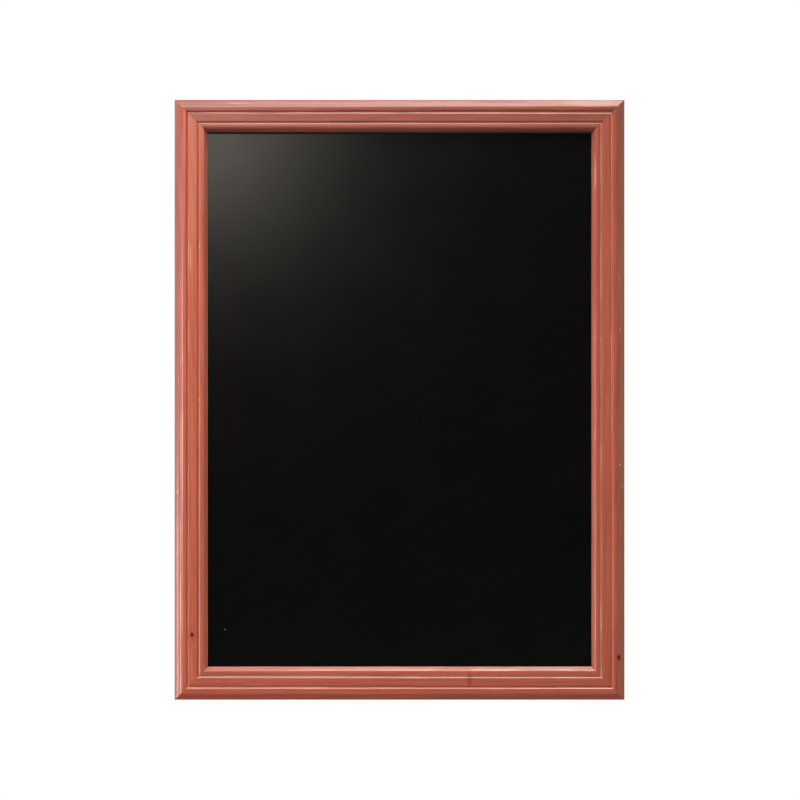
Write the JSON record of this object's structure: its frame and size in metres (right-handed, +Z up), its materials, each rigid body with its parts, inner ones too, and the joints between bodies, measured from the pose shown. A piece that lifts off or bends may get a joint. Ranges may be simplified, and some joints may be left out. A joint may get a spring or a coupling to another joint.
{
  "type": "wall chalkboard",
  "caption": "Portrait wall chalkboard with a mitred, grooved wood frame, a black writing panel and D ring hangers on its back.",
  "frame": {"origin": "centre of the board on the wall plane, where the backs of the bumpers lie", "axes": "+Z up with the board hung upright, +X to the right seen from the front, +Y into the wall; the writing face looks along -Y"},
  "size_m": [0.6, 0.023, 0.8],
  "materials": {
    "stained_wood": "red-brown stain, satin lacquer",
    "chalk_laminate": "black, semi-matt",
    "hardboard": "plain hardboard, mesh side out",
    "bright_steel": "bright rolled steel",
    "zinc_steel": "bright zinc plate",
    "zinc_screws": "yellowish zinc plate",
    "bumper_rubber": "matt"
  },
  "bodies": {
    "board": {"top_rail": "stained_wood", "bottom_rail": "stained_wood", "left_stile": "stained_wood", "right_stile": "stained_wood", "writing_surface": "chalk_laminate", "panel_core": "hardboard", "corner_nails_top_left": "bright_steel", "corner_nails_top_right": "bright_steel", "corner_nails_bottom_left": "bright_steel", "corner_nails_bottom_right": "bright_steel", "panel_points_top": "bright_steel", "panel_points_right": "bright_steel", "panel_points_bottom": "bright_steel", "panel_points_left": "bright_steel", "hanger_strap_top": "zinc_steel", "hanger_strap_right": "zinc_steel", "hanger_strap_bottom": "zinc_steel", "hanger_strap_left": "zinc_steel", "hanger_screws": "zinc_screws", "bumper_top_left": "bumper_rubber", "bumper_top_right": "bumper_rubber", "bumper_bottom_left": "bumper_rubber", "bumper_bottom_right": "bumper_rubber"},
    "ring_top": {"hanger_ring_top": "zinc_steel"},
    "ring_right": {"hanger_ring_right": "zinc_steel"},
    "ring_bottom": {"hanger_ring_bottom": "zinc_steel"},
    "ring_left": {"hanger_ring_left": "zinc_steel"}
  },
  "joints": [
    {"name": "ring_top_swing", "type": "hinge", "parent": "board", "child": "ring_top", "pos_m": [-0.15, -0.0029, 0.382], "axis": [0, 0, -1], "range_deg": [0, 180]},
    {"name": "ring_right_swing", "type": "hinge", "parent": "board", "child": "ring_right", "pos_m": [0.282, -0.0029, 0.25], "axis": [-1, 0, 0], "range_deg": [0, 180]},
    {"name": "ring_bottom_swing", "type": "hinge", "parent": "board", "child": "ring_bottom", "pos_m": [-0.15, -0.0029, -0.382], "axis": [0, 0, -1], "range_deg": [0, 180]},
    {"name": "ring_left_swing", "type": "hinge", "parent": "board", "child": "ring_left", "pos_m": [-0.282, -0.0029, 0.25], "axis": [-1, 0, 0], "range_deg": [0, 180]}
  ]
}
